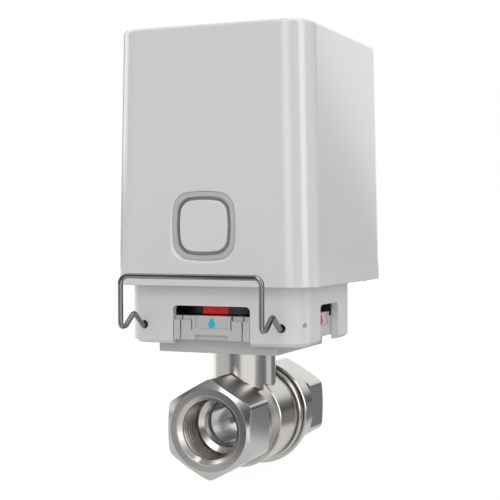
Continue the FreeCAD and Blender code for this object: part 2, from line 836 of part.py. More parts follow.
def button_face_y():
    """Outside of the cover at the button's centre."""
    return cover_centre_y - cover_half_sizes(button_z)[1]


def cover():
    bottom = (*cover_half_sizes(cover_z), cover_corner_radius, cover_z)
    top = (*cover_half_sizes(cover_top_z), cover_corner_radius, cover_top_z)
    shell = tapered_slab(bottom, top, cover_centre_y)
    top_edges = [edge for edge in shell.Edges if edge.BoundBox.ZMin > cover_top_z - 0.01]
    shell = shell.makeFillet(cover_top_round, top_edges)
    ceiling = cover_top_z - cover_wall
    radius = cover_corner_radius - cover_wall
    hollow = tapered_slab((*cover_half_sizes(cover_z, cover_wall), radius, cover_z),
                          (*cover_half_sizes(ceiling, cover_wall), radius, ceiling), cover_centre_y)
    shell = shell.cut(hollow)
    shell = shell.fuse([cover_boss(side) for side in (-1, 1)])
    for side in (-1, 1):
        shell = shell.cut(rod(cover_screw_radius + running, plate_top_z, cover_screw_hole_top_z(), "z",
                              cover_screw_place(side)))
    return shell.cut(button_opening())


def button_opening():
    """Round-cornered opening for the light ring, with a shallow sloping edge outside it."""
    outer = button_half + button_gap + ring_width
    face = button_face_y()
    through = cushion(outer + loose, face - overcut, face + cover_wall + overcut)
    bevel = Part.makeLoft([cushion_outline(outer + loose, face + bevel_depth),
                           cushion_outline(outer + bevel_width, face - bevel_lead)], True, True)
    return through.fuse(bevel)


def cover_screws():
    screws = []
    for side in (-1, 1):
        place = cover_screw_place(side)
        head = rod(cover_screw_head_radius, plate_z - cover_screw_head_height, plate_z, "z", place)
        shank = rod(cover_screw_radius, plate_z, cover_screw_hole_top_z() - cover_screw_end_gap, "z", place)
        screws.append(joined(head, shank))
    return Part.makeCompound(screws)


# ---- button stack ------------------------------------------------------------------------------------
def ring_back_y():
    return button_face_y() + cover_wall + ring_stand


def button_flange_y():
    """Front of the button's flange, just behind the light ring's shelf."""
    return ring_back_y() + shelf_back + loose


def light_ring():
    inner = button_half + button_gap
    outer = inner + ring_width
    back = ring_back_y()
    ring = cushion(outer, button_face_y() + bevel_depth, back)
    shelf = cushion(outer + flange_reach, back - shelf_front, back + shelf_back)
    return joined(ring, shelf).cut(cushion(inner, button_face_y(), back + shelf_back))


def button():
    face, back = button_face_y(), button_flange_y() + flange_thickness
    cap = cushion(button_half, face, back)
    rim_edges = [edge for edge in cap.Edges if edge.BoundBox.YMax < face + cap_round / 2]
    cap = cap.makeFillet(cap_round, rim_edges)
    return joined(cap, cushion(button_half + flange_reach, button_flange_y(), back))


def switch_plunger():
    front = button_flange_y() + flange_thickness
    return rod(plunger_radius, front, board_front_y - button_travel - loose, "y", (button_x, button_z))


def tact_switch():
    face = board_front_y - switch_height
    body = box(button_x - switch_half, button_x + switch_half, face, board_front_y,
               button_z - switch_half, button_z + switch_half)
    return body.cut(rod(plunger_radius + loose, face, board_front_y, "y", (button_x, button_z)))


def status_leds():
    """Four light chips on the board, behind the light ring."""
    lights = []
    reach = button_half + button_gap + ring_width / 2
    for x, z in ((reach, 0), (-reach, 0), (0, reach), (0, -reach)):
        centre_x, centre_z = button_x + x, button_z + z
        lights.append(box(centre_x - led_half, centre_x + led_half, board_front_y - led_half, board_front_y,
                          centre_z - led_half, centre_z + led_half))
    return Part.makeCompound(lights)


def board_top_z():
    return cover_top_z - cover_wall - antenna_height - board_top_room


def circuit_board():
    edge = board_half_width()
    return box(-edge, edge, board_front_y, board_rear_y, plate_top_z, board_top_z())


def antenna():
    """A bent strip of metal standing on the top corner of the board."""
    right = board_half_width() - antenna_inset
    left = right - antenna_length
    low, high = board_top_z(), board_top_z() + antenna_height
    foot = box(right - antenna_strip, right, board_front_y, board_rear_y, low, high)
    arm = box(left, right, board_front_y, board_rear_y, high - antenna_strip, high)
    tip = box(left, left + antenna_strip, board_front_y, board_rear_y, low + antenna_tip_gap, high)
    return joined(foot, arm, tip)


def radio_module():
    low = holder_z + module_rise
    return box(-module_half, module_half, board_rear_y, board_rear_y + module_thickness,
               low, low + module_height)


def motor_connector():
    low = lid_top_z + connector_rise
    return box(connector_x - connector_half, connector_x + connector_half,
               board_rear_y, board_rear_y + connector_depth, low, low + connector_height)


# ---- indicator and gear train ------------------------------------------------------------------------
def flag_sector(clearance):
    """Wedge of the disc's rim that the coloured flag takes, facing -Y."""
    outer = disc_radius + overcut
    inner = disc_radius - flag_depth + clearance
    ring = tube(outer, inner, disc_z, disc_z + disc_thickness)
    half = outer * math.tan(math.radians(flag_half_angle)) - clearance
    corners = [V(0, 0, disc_z), V(-half, -outer, disc_z), V(half, -outer, disc_z)]
    return ring.common(prism(corners, V(0, 0, disc_thickness)))


def indicator_disc():
    disc = tube(disc_radius, hub_radius + running, disc_z, disc_z + disc_thickness)
    return disc.cut(flag_sector(0.0))


def indicator_flag():
    return flag_sector(running).common(rod(disc_radius, disc_z, disc_z + disc_thickness))


def involute(angle):
    return math.tan(angle) - angle


def gear_outline(module, teeth, tooth_at):
    """Tooth outline about (0, 0), with the centre of one tooth at `tooth_at` degrees."""
    pressure = math.radians(pressure_angle)
    pitch = module * teeth / 2
    base = pitch * math.cos(pressure)
    root, tip = pitch - dedendum * module, pitch + module
    half_tooth = math.pi / (2 * teeth) - gear_backlash / (2 * pitch)

    def half_angle(radius):
        return half_tooth + involute(pressure) - involute(math.acos(min(1.0, base / radius)))

    start = max(root, base)
    radii = [start + (tip - start) * step / flank_steps for step in range(flank_steps + 1)]
    if base > root:
        radii.insert(0, root)
    flank = [(radius, half_angle(max(radius, base))) for radius in radii]
    points = []
    for tooth in range(teeth):
        centre = math.radians(tooth_at) + 2 * math.pi * tooth / teeth
        points += [(radius, centre - angle) for radius, angle in flank]
        points += [(radius, centre + angle) for radius, angle in reversed(flank)]
    return [(radius * math.cos(angle), radius * math.sin(angle)) for radius, angle in points]


def gear(module, teeth, tooth_at, centre, z0, height):
    outline = gear_outline(module, teeth, tooth_at)
    points = [V(centre[0] + x, centre[1] + y, z0) for x, y in outline]
    return prism(points, V(0, 0, height))


def gap_facing(direction, teeth):
    """Where a tooth's centre goes so that a gap faces back along `direction`."""
    return direction + 180 + 180 / teeth


def output_gear():
    wheel = gear(output_module, wheel_teeth, second_direction, (0.0, 0.0), output_z, output_face)
    hub_z = nut_top_z + hub_gap
    hub = rod(hub_radius, hub_z, output_z)
    top_pin = rod(hub_top_radius, output_z + output_face, lid_top_z - top_pin_recess)
    half = drive_square / 2 + loose
    socket = box(-half, half, -half, half, hub_z, thread_end_z + apart + drive_length + loose)
    return joined(hub, wheel, top_pin).cut(socket)


def compound_gear(pinion, wheel, axis):
    """Pinion and wheel in one piece on a fixed axle."""
    bore = rod(axle_radius + running, tray_floor_z, lid_top_z, "z", axis)
    return joined(pinion, wheel).cut(bore)


def second_gear():
    pinion = gear(output_module, pinion_teeth, gap_facing(second_direction, pinion_teeth),
                  second_axis, output_z, output_face + stage_gap)
    wheel = gear(second_module, wheel_teeth, first_direction, second_axis, second_z, second_face)
    return compound_gear(pinion, wheel, second_axis)


def first_gear():
    pinion = gear(second_module, pinion_teeth, gap_facing(first_direction, pinion_teeth),
                  first_axis, second_z, second_face + stage_gap)
    wheel = gear(first_module, wheel_teeth, motor_direction, first_axis, first_z, first_face)
    return compound_gear(pinion, wheel, first_axis)


def motor_pinion():
    pinion = gear(first_module, pinion_teeth, gap_facing(motor_direction, pinion_teeth),
                  motor_axis, first_z, first_face)
    return pinion.cut(rod(motor_shaft_radius + running / 2, first_z, lid_z, "z", motor_axis))


def gear_axle(axis):
    return rod(axle_radius, plate_top_z + axle_hole_floor + axle_lift,
               lid_top_z - axle_hole_floor - axle_lift, "z", axis)


def box_screw_places():
    inset = box_wall + box_screw_inset
    front = gearbox_front_y + inset
    half_x = gearbox_half_x - inset
    return [(half_x, front), (-half_x, front), (half_x, screw_line_y), (-half_x, screw_line_y)]


def gearbox_slab(z0, z1, inset=0.0):
    half_y = (gearbox_rear_y - gearbox_front_y) / 2
    centre_y = (gearbox_rear_y + gearbox_front_y) / 2
    return rounded_slab(gearbox_half_x - inset, half_y - inset, box_corner - inset, z0, z1, centre_y)


def axle_holes():
    """Blind holes for the two axles, through the gearbox from floor to lid."""
    low, high = plate_top_z + axle_hole_floor, lid_top_z - axle_hole_floor
    return [rod(axle_radius + running / 2, low, high, "z", axis) for axis in (second_axis, first_axis)]


def gearbox_tray():
    tray = gearbox_slab(plate_top_z, lid_z).cut(gearbox_slab(tray_floor_z, lid_z, box_wall))
    bosses = [rod(screw_boss_radius, tray_floor_z, lid_z, "z", place) for place in box_screw_places()]
    washers = [rod(axle_radius + axle_rim, tray_floor_z, output_z - running, "z", second_axis),
               rod(axle_radius + axle_rim, tray_floor_z, second_z - running, "z", first_axis)]
    tray = joined(tray, *bosses, *washers)
    for place in box_screw_places():
        tray = tray.cut(rod(small_screw_radius + running, tray_floor_z + box_screw_floor, lid_z, "z", place))
    for hole in axle_holes():
        tray = tray.cut(hole)
    return tray.cut(rod(hub_radius + apart, plate_top_z, tray_floor_z))


def motor_screw_places():
    return [polar(motor_axis, motor_screw_radius, angle) for angle in motor_screw_directions]


def gearbox_lid():
    lid = gearbox_slab(lid_z, lid_top_z)
    for place in box_screw_places() + motor_screw_places():
        lid = lid.cut(rod(small_screw_radius + loose, lid_z, lid_top_z, "z", place))
    for hole in axle_holes():
        lid = lid.cut(hole)
    lid = lid.cut(rod(hub_top_radius + running, lid_z, lid_top_z))
    return lid.cut(rod(motor_boss_radius + loose, lid_z, lid_top_z, "z", motor_axis))


def screw_down(place, seat_z, length):
    head = rod(small_head_radius, seat_z, seat_z + small_head_height, "z", place)
    return joined(head, rod(small_screw_radius, seat_z - length, seat_z, "z", place))


def gearbox_screws():
    screws = [screw_down(place, lid_top_z, box_screw_length) for place in box_screw_places()]
    return Part.makeCompound(screws)


def motor_screws():
    screws = []
    for place in motor_screw_places():
        head = rod(small_head_radius, lid_z - flat_head_height, lid_z, "z", place)
        screws.append(joined(head, rod(small_screw_radius, lid_z, lid_top_z + motor_screw_grip, "z", place)))
    return Part.makeCompound(screws)


def motor():
    can = rod(motor_radius, lid_top_z, motor_top_z, "z", motor_axis)
    can = can.makeChamfer(motor_edge, [edge for edge in can.Edges if len(edge.Vertexes) == 1])
    boss = rod(motor_boss_radius, lid_z + motor_boss_recess, lid_top_z, "z", motor_axis)
    can = joined(can, boss)
    can = can.cut(rod(motor_shaft_radius + running, lid_z, motor_top_z - shaft_end_wall, "z", motor_axis))
    for place in motor_screw_places():
        hole_end = lid_top_z + motor_screw_grip + overcut
        can = can.cut(rod(small_screw_radius + running, lid_top_z, hole_end, "z", place))
    return can


def motor_shaft():
    return rod(motor_shaft_radius, first_z, motor_top_z - shaft_end_wall - apart, "z", motor_axis)


def output_bush():
    outer = hub_radius + running + bush_wall
    sleeve = tube(outer, hub_radius + running, plate_z, plate_top_z)
    flange = tube(outer + bush_flange, hub_radius + running, plate_z - bush_flange_thickness, plate_z)
    return joined(sleeve, flange)


# ---- cells and holder --------------------------------------------------------------------------------
def cell_places():
    """(y, z) of the four cells, two deep and two high, lying across the cover."""
    pitch = 2 * cell_radius + cell_gap
    y0 = holder_front_y + holder_wall + loose + cell_radius
    z0 = cells_z + cell_radius + loose
    return [(y0 + column * pitch, z0 + row * pitch) for row in range(2) for column in range(2)]


def cell(place):
    half = cell_length / 2
    can = rod(cell_radius, -half, half, "x", place)
    rims = [edge for edge in can.Edges if len(edge.Vertexes) == 1]
    return can.makeFillet(cell_edge_round, rims)


def battery_contacts():
    contacts = []
    face = cell_length / 2 + loose
    for y, z in cell_places():
        for side in (-1, 1):
            x0, x1 = sorted((side * face, side * (face + contact_thickness)))
            contacts.append(box(x0, x1, y - contact_half, y + contact_half,
                                z - contact_half, z + contact_half))
    return Part.makeCompound(contacts)


def battery_holder():
    """Cradle with end walls, standing on four legs on the gearbox lid."""
    inner_x = holder_half_x - holder_wall
    open_x = inner_x - holder_end_grip
    tray = box(-holder_half_x, holder_half_x, holder_front_y, holder_rear_y, holder_z, holder_top_z)
    tray = tray.cut(box(-inner_x, inner_x, holder_front_y + holder_wall, holder_rear_y - holder_wall,
                        cells_z, holder_top_z))
    tray = tray.cut(box(-open_x, open_x, holder_front_y, holder_rear_y,
                        cells_z + holder_side_share * cell_radius, holder_top_z))
    legs = [rod(leg_radius, lid_top_z, holder_z, "z", (x, y))
            for x in (-leg_x, leg_x) for y in (leg_front_y, leg_rear_y)]
    return joined(tray, *legs)


# ---- every node --------------------------------------------------------------------------------------
def nodes():
    pieces = {
        "valve_body": valve_body, "end_piece": end_piece, "body_gasket": body_gasket, "ball": ball,
        "front_seat": lambda: ball_seat(-1), "rear_seat": lambda: ball_seat(1),
        "stem": stem, "stem_rings": stem_rings, "thrust_washer": thrust_washer,
        "mounting_adapter": mounting_adapter, "adapter_nut": adapter_nut,
        "open_mark": open_mark, "closed_mark": closed_mark,
        "base_frame": base_frame, "fixing_clip": fixing_clip, "output_bush": output_bush,
        "indicator_disc": indicator_disc, "indicator_flag": indicator_flag,
        "gearbox_tray": gearbox_tray, "gearbox_lid": gearbox_lid, "gearbox_screws": gearbox_screws,
        "output_gear": output_gear, "second_gear": second_gear, "first_gear": first_gear,
        "second_axle": lambda: gear_axle(second_axis), "first_axle": lambda: gear_axle(first_axis),
        "motor_pinion": motor_pinion, "motor_shaft": motor_shaft, "motor": motor,
        "motor_screws": motor_screws,
        "circuit_board": circuit_board, "radio_module": radio_module, "motor_connector": motor_connector,
        "antenna": antenna, "status_leds": status_leds, "tact_switch": tact_switch,
        "switch_plunger": switch_plunger, "button": button, "light_ring": light_ring,
        "battery_holder": battery_holder, "battery_contacts": battery_contacts,
        "cover": cover, "cover_gasket": cover_gasket, "cover_screws": cover_screws,
    }
    for number, place in enumerate(cell_places(), start=1):
        pieces["cell_%d" % number] = lambda place=place: cell(place)
    return pieces


def main():
    os.makedirs("parts", exist_ok=True)
    for name, make in nodes().items():
        shape = make()
        if not shape.isValid() or not shape.Solids:
            raise ValueError("%s is not a sound solid" % name)
        shape.exportStep("parts/%s.step" % name)
        print("%-18s %d solid(s) %10.1f mm3" % (name, len(shape.Solids), shape.Volume))


main()
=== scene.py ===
import json
import math

import bmesh
import bpy
from bpy.props import FloatProperty, FloatVectorProperty, IntProperty, PointerProperty
from mathutils import Matrix, Vector


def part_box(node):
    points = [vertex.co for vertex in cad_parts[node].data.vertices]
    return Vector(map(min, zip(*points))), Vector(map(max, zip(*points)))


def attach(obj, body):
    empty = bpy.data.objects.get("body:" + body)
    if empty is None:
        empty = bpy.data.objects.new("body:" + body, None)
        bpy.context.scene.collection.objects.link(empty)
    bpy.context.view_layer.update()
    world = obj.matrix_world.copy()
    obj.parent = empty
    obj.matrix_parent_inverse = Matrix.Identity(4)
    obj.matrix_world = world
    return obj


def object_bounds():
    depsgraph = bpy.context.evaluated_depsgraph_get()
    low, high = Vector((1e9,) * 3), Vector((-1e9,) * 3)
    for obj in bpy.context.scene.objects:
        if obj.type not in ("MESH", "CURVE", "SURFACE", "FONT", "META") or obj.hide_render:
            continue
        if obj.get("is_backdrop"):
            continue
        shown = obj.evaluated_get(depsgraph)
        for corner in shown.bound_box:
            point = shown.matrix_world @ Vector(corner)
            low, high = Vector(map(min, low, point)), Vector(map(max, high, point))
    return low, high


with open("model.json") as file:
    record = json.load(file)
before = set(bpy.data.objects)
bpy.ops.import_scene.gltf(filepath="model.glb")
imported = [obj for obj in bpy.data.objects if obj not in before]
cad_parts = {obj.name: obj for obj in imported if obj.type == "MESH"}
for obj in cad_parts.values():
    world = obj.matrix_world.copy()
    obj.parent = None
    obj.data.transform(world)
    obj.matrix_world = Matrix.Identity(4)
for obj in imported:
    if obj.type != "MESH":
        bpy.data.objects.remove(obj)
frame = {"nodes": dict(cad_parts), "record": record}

bl_info = {
    "name": "Motorised Zone Valve",
    "version": (1, 0, 0),
    "blender": (4, 5, 0),
    "location": "View3D > Sidebar > Zone Valve",
    "description": "Finishes and added pieces for a battery powered zone valve",
    "category": "Object",
}

MM = 0.001
MERGE_DISTANCE = 0.00001


# ---- modelling helpers -------------------------------------------------------------------------------
def clear_selection():
    if bpy.context.object and bpy.context.object.mode != "OBJECT":
        bpy.ops.object.mode_set(mode="OBJECT")
    bpy.ops.object.select_all(action="DESELECT")


def pick_edges(piece, test):
    """Select the edges whose two ends pass the test."""
    bpy.ops.mesh.select_mode(type="EDGE")
    bpy.ops.mesh.select_all(action="DESELECT")
    shape = bmesh.from_edit_mesh(piece.data)
    picked = [edge for edge in shape.edges if test(*(corner.co for corner in edge.verts))]
    if not picked:
        raise RuntimeError("%s: nothing was selected" % piece.name)
    for edge in picked:
        edge.select_set(True)
    shape.select_flush_mode()
    bmesh.update_edit_mesh(piece.data)


def close():
    """Merge doubles, turn the faces outwards and leave edit mode."""
    bpy.ops.mesh.select_mode(type="VERT")
    bpy.ops.mesh.select_all(action="SELECT")
    bpy.ops.mesh.remove_doubles(threshold=MERGE_DISTANCE)
    bpy.ops.mesh.normals_make_consistent(inside=False)
    bpy.ops.object.mode_set(mode="OBJECT")


def only(piece):
    clear_selection()
    piece.select_set(True)
    bpy.context.view_layer.objects.active = piece


def smooth(piece, degrees):
    only(piece)
    bpy.ops.object.shade_smooth_by_angle(angle=math.radians(degrees))


def apply_modifier(piece, kind, **settings):
    only(piece)
    modifier = piece.modifiers.new(kind.title(), kind)
    for key, value in settings.items():
        setattr(modifier, key, value)
    bpy.ops.object.modifier_apply(modifier=modifier.name)


def finish_piece(piece, body, material):
    piece.data.materials.clear()
    piece.data.materials.append(material)
    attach(piece, body)


# ---- finishes ----------------------------------------------------------------------------------------
# Sockets of a Mix node that blends colours, which it keeps beside those for other kinds of value
MIX_FIRST, MIX_SECOND, MIX_RESULT = 6, 7, 2
EDGE_SAMPLES = 6
WORN_AND_HIGHLIT_BELOW, PLAIN_ABOVE = 0.80, 0.995    # cosines between the rounded normal and the true one
EDGE_WEAR_AND_HIGHLIGHT = 0.5                          # share of the lighter edge tint on a sharp edge: painted highlight and wear
NOISE_SPAN = (0.3, 0.7)                  # where nearly all of a noise's values lie


class Nodes:
    """Short calls for the nodes that the finishes and the room share."""

    def __init__(self, tree):
        self.tree = tree

    def add(self, kind):
        return self.tree.nodes.new("ShaderNode" + kind)

    def link(self, source, target):
        self.tree.links.new(source, target)

    def put(self, socket, value):
        if isinstance(value, bpy.types.NodeSocket):
            self.link(value, socket)
        else:
            socket.default_value = value

    def math(self, operation, a, b=0.0):
        node = self.add("Math")
        node.operation = operation
        self.put(node.inputs[0], a)
        self.put(node.inputs[1], b)
        return node.outputs[0]

    def plus(self, a, b):
        return self.math("ADD", a, b)

    def times(self, a, b):
        return self.math("MULTIPLY", a, b)

    def less(self, a, b):
        return self.math("SUBTRACT", a, b)

    def distance(self, a, b):
        """Distance from the axis where a and b are nought."""
        return self.math("SQRT", self.plus(self.times(a, a), self.times(b, b)))

    def compass(self, x, y):
        """Heading in degrees from -Y towards +X."""
        return self.times(self.math("ARCTAN2", x, self.times(y, -1.0)), 180.0 / math.pi)


class Finish(Nodes):
    """A node material built up from noise, edges painted lighter (painted highlight and some wear) and bump.
    """

    def __init__(self, name):
        self.material = bpy.data.materials.get(name) or bpy.data.materials.new(name)
        self.material.use_nodes = True
        super().__init__(self.material.node_tree)
        self.tree.nodes.clear()
        output = self.add("OutputMaterial")
        self.shader = self.add("BsdfPrincipled")
        self.link(self.shader.outputs[0], output.inputs["Surface"])
        self.coordinates = self.add("TexCoord")
        self.place = self.coordinates.outputs["Object"]
        self.bevel_normal = None

    def set(self, **values):
        for key, value in values.items():
            self.shader.inputs[key.replace("_", " ")].default_value = value

    def stretched(self, scale):
        node = self.add("Mapping")
        node.inputs["Scale"].default_value = scale
        self.link(self.place, node.inputs["Vector"])
        return node.outputs[0]

    def noise(self, scale, detail=2.0, roughness=0.5, place=None):
        node = self.add("TexNoise")
        node.inputs["Scale"].default_value = scale
        node.inputs["Detail"].default_value = detail
        node.inputs["Roughness"].default_value = roughness
        self.link(place or self.place, node.inputs["Vector"])
        return node.outputs["Fac"]

    def spread(self, value, low, high, start=NOISE_SPAN[0], end=NOISE_SPAN[1]):
        """Map a value from start..end to low..high."""
        node = self.add("MapRange")
        self.link(value, node.inputs["Value"])
        for key, number in (("From Min", start), ("From Max", end), ("To Min", low), ("To Max", high)):
            node.inputs[key].default_value = number
        return node.outputs[0]

    def blend(self, share, first, second):
        node = self.add("Mix")
        node.data_type = "RGBA"
        self.put(node.inputs["Factor"], share)
        self.put(node.inputs[MIX_FIRST], first)
        self.put(node.inputs[MIX_SECOND], second)
        return node.outputs[MIX_RESULT]

    def rounded_edges(self, radius):
        """Normals as if every edge were rounded by this radius."""
        node = self.add("Bevel")
        node.samples = EDGE_SAMPLES
        node.inputs["Radius"].default_value = radius
        self.bevel_normal = node.outputs[0]

    def edge_mask(self):
        """The share of the lighter edge tint on edges, 0 on open faces: where the rounded normal leaves the
        true one. The lighter tint is a painted highlight with some wear.
        """
        geometry = self.add("NewGeometry")
        node = self.add("VectorMath")
        node.operation = "DOT_PRODUCT"
        self.link(self.bevel_normal, node.inputs[0])
        self.link(geometry.outputs["True Normal"], node.inputs[1])
        return self.spread(node.outputs["Value"], EDGE_WEAR_AND_HIGHLIGHT, 0.0, WORN_AND_HIGHLIT_BELOW, PLAIN_ABOVE)

    def bump(self, height, strength, distance, normal=None):
        node = self.add("Bump")
        node.inputs["Strength"].default_value = strength
        node.inputs["Distance"].default_value = distance
        self.link(height, node.inputs["Height"])
        self.link(normal or self.bevel_normal, node.inputs["Normal"])
        return node.outputs[0]

    def colour(self, value):
        self.put(self.shader.inputs["Base Color"], value)

    def roughness(self, value):
        self.put(self.shader.inputs["Roughness"], value)

    def normal(self, value):
        self.link(value, self.shader.inputs["Normal"])

    def parts(self):
        node = self.add("SeparateXYZ")
        self.link(self.place, node.inputs[0])
        return node.outputs


def shade(colour, factor):
    """A colour made darker or lighter, with no part of it past full."""
    return tuple(min(1.0, channel * factor) for channel in colour[:3]) + (1.0,)


FLOW_MARKS = 22.0       # noise scales, in cycles to the metre
DUST = 1400.0
GRAIN_DEPTH = 0.004 * MM
COAT_ROUGHNESS = 0.06
PLASTIC_IOR = 1.5


def moulded_plastic(name, colour, rough, grain=0.12, grain_size=0.25, edge=0.25, coat=0.0):
    """Injection moulded plastic: fine grain, faint flow marks and edges painted lighter, a painted highlight
    with some wear.
    """
    finish = Finish(name)
    finish.rounded_edges(edge * MM)
    worn_and_highlit = finish.edge_mask()
    flow = finish.noise(FLOW_MARKS)
    dust = finish.noise(DUST)
    tint = finish.blend(finish.spread(flow, 0.0, 1.0), shade(colour, 0.985), shade(colour, 1.01))
    # Edges painted lighter than the face: painted highlight, with some wear.
    finish.colour(finish.blend(worn_and_highlit, tint, shade(colour, 1.08)))
    cloudy = finish.spread(flow, rough * 0.92, rough * 1.08)
    finish.roughness(finish.plus(cloudy, finish.spread(dust, -0.015, 0.02)))
    fine = finish.noise(1.0 / (grain_size * MM))
    finish.normal(finish.bump(fine, grain, GRAIN_DEPTH))
    finish.set(IOR=PLASTIC_IOR, Coat_Weight=coat, Coat_Roughness=COAT_ROUGHNESS)
    return finish.material


GROOVE_PITCH = 0.22 * MM
GROOVE_DEPTH = 0.012 * MM
SCRATCH_DEPTH = 0.004 * MM
GROOVE_STRENGTH = 0.16
TURNED_EDGE = 0.16 * MM
BLOTCHES = 60.0
SCRATCHES = 260.0
ALONG_SCRATCH = (12.0, 0.6, 12.0)
TURNED_BAND = (0.0110, 0.0112, 0.0128, 0.0130)    # radii where the dark ring on an end face fades in and out


def turned_metal(name, colour, rough):
    """Metal turned about the pipe axis: rings on the end faces, fine lines round the barrel."""
    finish = Finish(name)
    finish.set(Metallic=1.0)
    x, y, z = finish.parts()
    radius = finish.distance(x, z)
    finish.rounded_edges(TURNED_EDGE)
    facing = finish.add("SeparateXYZ")
    finish.link(finish.coordinates.outputs["Normal"], facing.inputs[0])
    on_face = finish.math("GREATER_THAN", finish.math("ABSOLUTE", facing.outputs[1]), 0.5)
    run = finish.plus(finish.times(on_face, radius), finish.times(finish.less(1.0, on_face), y))
    line = finish.add("CombineXYZ")
    finish.link(run, line.inputs[0])
    grooves = finish.noise(1.0 / GROOVE_PITCH, 2.0, 0.6, line.outputs[0])
    fade_in, ring_start, ring_end, fade_out = TURNED_BAND
    ring = finish.times(finish.spread(radius, 0.0, 1.0, fade_in, ring_start),
                        finish.spread(radius, 1.0, 0.0, ring_end, fade_out))
    ring = finish.times(ring, on_face)
    blotch = finish.noise(BLOTCHES, 3.0)
    scratch = finish.noise(SCRATCHES, 4.0, 0.6, finish.stretched(ALONG_SCRATCH))
    worn_and_highlit = finish.edge_mask()
    tint = finish.blend(finish.spread(grooves, 0.0, 1.0), shade(colour, 0.80), colour)
    tint = finish.blend(finish.spread(blotch, 0.0, 0.25, 0.45, 0.75), tint, shade(colour, 0.85))
    tint = finish.blend(finish.times(ring, 0.55), tint, shade(colour, 0.5))
    # Edges painted brighter than the metal: painted highlight, with some wear.
    finish.colour(finish.blend(worn_and_highlit, tint, shade(colour, 1.25)))
    base = finish.spread(grooves, rough * 0.85, rough * 1.2)
    finish.roughness(finish.plus(base, finish.spread(scratch, -0.015, 0.03, 0.35, 0.7)))
    lathe_marks = finish.bump(grooves, GROOVE_STRENGTH, GROOVE_DEPTH)
    finish.normal(finish.bump(scratch, GROOVE_STRENGTH * 0.4, SCRATCH_DEPTH, lathe_marks))
    return finish.material


DRAWING_MARKS = 500.0
HANDLING_SPOTS = 70.0
ALONG_DRAWING = (1.0, 0.25, 1.0)
DRAWING_DEPTH = 0.005 * MM


def drawn_metal(name, colour, rough, depth=0.1, edge=0.1):
    """Plain bright metal with fine drawing marks, a little handling wear and edges painted lighter, a
    painted highlight with some wear.
    """
    finish = Finish(name)
    finish.set(Metallic=1.0)
    finish.rounded_edges(edge * MM)
    worn_and_highlit = finish.edge_mask()
    marks = finish.noise(DRAWING_MARKS, 3.0, 0.6, finish.stretched(ALONG_DRAWING))
    spots = finish.noise(HANDLING_SPOTS)
    tint = finish.blend(finish.spread(spots, 0.0, 1.0, 0.35, 0.7), colour, shade(colour, 0.9))
    # Edges painted brighter than the metal: painted highlight, with some wear.
    finish.colour(finish.blend(worn_and_highlit, tint, shade(colour, 1.2)))
    finish.roughness(finish.plus(finish.spread(marks, rough * 0.8, rough * 1.2),
                                 finish.spread(spots, -0.01, 0.03, 0.4, 0.7)))
    finish.normal(finish.bump(marks, depth, DRAWING_DEPTH))
    return finish.material


BOARD_EDGE = 0.1 * MM
TRACK_CELLS = 220.0
TRACK_SPECKLE = 700.0
TRACK_HEIGHT = 0.04 * MM


def board_finish(name, colour):
    """Solder resist with copper tracks showing through as lighter lines."""
    finish = Finish(name)
    finish.rounded_edges(BOARD_EDGE)
    cells = finish.add("TexVoronoi")
    cells.distance = "MANHATTAN"
    cells.feature = "F1"
    cells.inputs["Scale"].default_value = TRACK_CELLS
    finish.link(finish.place, cells.inputs["Vector"])
    track = finish.spread(cells.outputs["Distance"], 0.0, 1.0, 0.52, 0.56)
    speckle = finish.noise(TRACK_SPECKLE)
    tint = finish.blend(track, colour, shade(colour, 1.7))
    finish.colour(finish.blend(finish.spread(speckle, 0.0, 0.3, 0.4, 0.7), tint, shade(colour, 0.7)))
    finish.roughness(finish.spread(speckle, 0.28, 0.42))
    finish.normal(finish.bump(track, 0.4, TRACK_HEIGHT))
    return finish.material


SLEEVE_EDGE = 0.2 * MM
END_BAND = 0.0022           # bare metal at each end of a cell
CENTRE_BAND = 0.006         # half of the lighter band round its middle
BARE_END = (0.62, 0.62, 0.60, 1.0)
SHRINK_LINES = 800.0
ALONG_SHRINK = (0.15, 1.0, 1.0)
SHRINK_DEPTH = 0.03 * MM


def sleeve_finish(name, colour):
    """Shrink sleeve of a cell: a plain band at each end and fine shrink lines."""
    finish = Finish(name)
    finish.rounded_edges(SLEEVE_EDGE)
    reach = finish.math("ABSOLUTE", finish.parts()[0])
    low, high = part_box("cell_1")
    end_band = finish.math("GREATER_THAN", reach, (high.x - low.x) / 2 - END_BAND)
    centre_band = finish.math("LESS_THAN", reach, CENTRE_BAND)
    lines = finish.noise(SHRINK_LINES, 3.0, 0.6, finish.stretched(ALONG_SHRINK))
    tint = finish.blend(centre_band, colour, shade(colour, 2.4))
    finish.colour(finish.blend(end_band, tint, BARE_END))
    finish.put(finish.shader.inputs["Metallic"], end_band)
    finish.roughness(finish.spread(lines, 0.22, 0.38))
    finish.normal(finish.bump(lines, 0.2, SHRINK_DEPTH))
    return finish.material


# ---- settings ----------------------------------------------------------------------------------------
def tint_property(name, description, default):
    return FloatVectorProperty(name=name, description=description, subtype="COLOR", size=4,
                               min=0.0, max=1.0, default=default)


class ZoneValveColours(bpy.types.PropertyGroup):
    cover: tint_property("Cover", "Glossy plastic of the cover", (0.80, 0.80, 0.805, 1.0))
    base: tint_property("Base", "Satin plastic of the actuator base", (0.78, 0.78, 0.78, 1.0))
    # Adapter: the same white-grey plastic as the base, set darker as painted shade under the base.
    adapter: tint_property("Adapter", "Satin plastic of the mounting adapter", (0.60, 0.60, 0.60, 1.0))
    ring: tint_property("Light ring", "Frosted diffuser round the button", (0.56, 0.56, 0.57, 1.0))
    valve: tint_property("Valve", "Nickel plated brass of the valve", (0.62, 0.605, 0.58, 1.0))
    wire: tint_property("Wire", "Spring wire of the fixing clip", (0.27, 0.27, 0.28, 1.0))
    open_mark: tint_property("Open mark", "Printed drop on the front tongue", (0.0, 0.55, 0.80, 1.0))
    closed_mark: tint_property("Closed mark", "Crossed drop on the side tongue", (0.95, 0.08, 0.07, 1.0))
    flag: tint_property("Flag", "Coloured part of the indicator disc", (1.0, 0.008, 0.006, 1.0))


